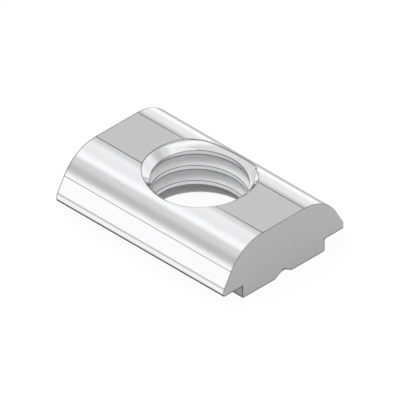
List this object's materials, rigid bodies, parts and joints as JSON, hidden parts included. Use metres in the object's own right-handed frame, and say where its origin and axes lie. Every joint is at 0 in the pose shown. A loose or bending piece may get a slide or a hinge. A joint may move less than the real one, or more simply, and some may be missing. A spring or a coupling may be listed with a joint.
{
  "type": "t slot nut",
  "caption": "T slot nut with a rounded back, two clamping shoulders and a grooved neck, tapped through its middle with a countersink at each end.",
  "frame": {"origin": "middle of the length and width, on the plane of the neck's end face, where the axis of the threaded hole meets it", "axes": "+X along the bar, +Y across it, +Z out of the rounded back, so -Z points out of the slot that the nut sits in"},
  "size_m": [0.016, 0.0116, 0.0045],
  "materials": {
    "steel": "bright drawn steel, zinc plated, with a fine grain along the bar"
  },
  "bodies": {
    "root": {"t_slot_nut": "steel"}
  },
  "joints": []
}
